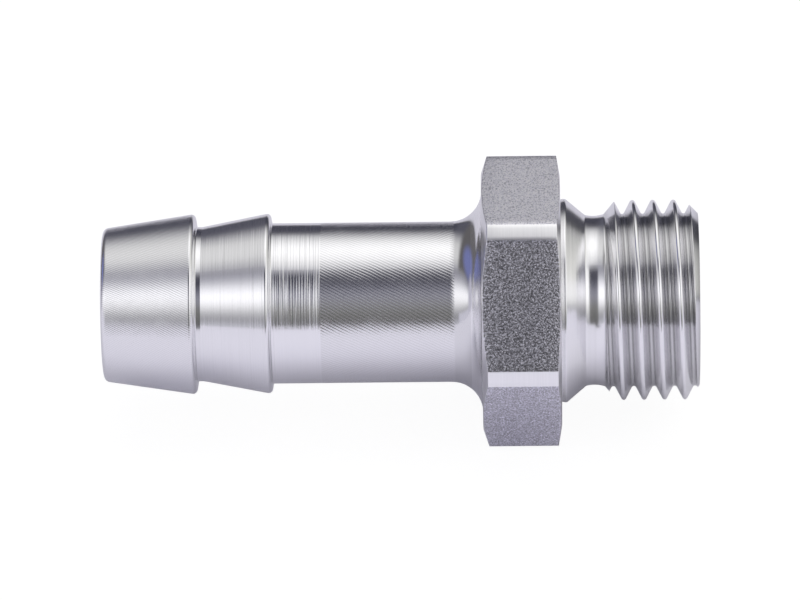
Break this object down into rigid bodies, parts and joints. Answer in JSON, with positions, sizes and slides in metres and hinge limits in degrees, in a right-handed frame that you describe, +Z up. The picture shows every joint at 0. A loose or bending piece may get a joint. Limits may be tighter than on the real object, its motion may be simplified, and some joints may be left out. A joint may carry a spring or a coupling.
{
  "type": "air coupling nipple",
  "caption": "Metal air coupling nipple with a barbed hose tail, a spanner hexagon, a seal collar with an undercut and a male parallel pipe thread, bored through.",
  "frame": {"origin": "on the bore's axis, in the hexagon's face on the thread side, where the seal sits", "axes": "+X along the bore towards the thread's end, +Z up out of a flat of the hexagon, +Y completes the right-handed frame"},
  "size_m": [0.039, 0.019, 0.017],
  "materials": {
    "turned_steel": "turned bright, with drawn flats on the hexagon"
  },
  "bodies": {
    "root": {"nipple": "turned_steel"}
  },
  "joints": []
}
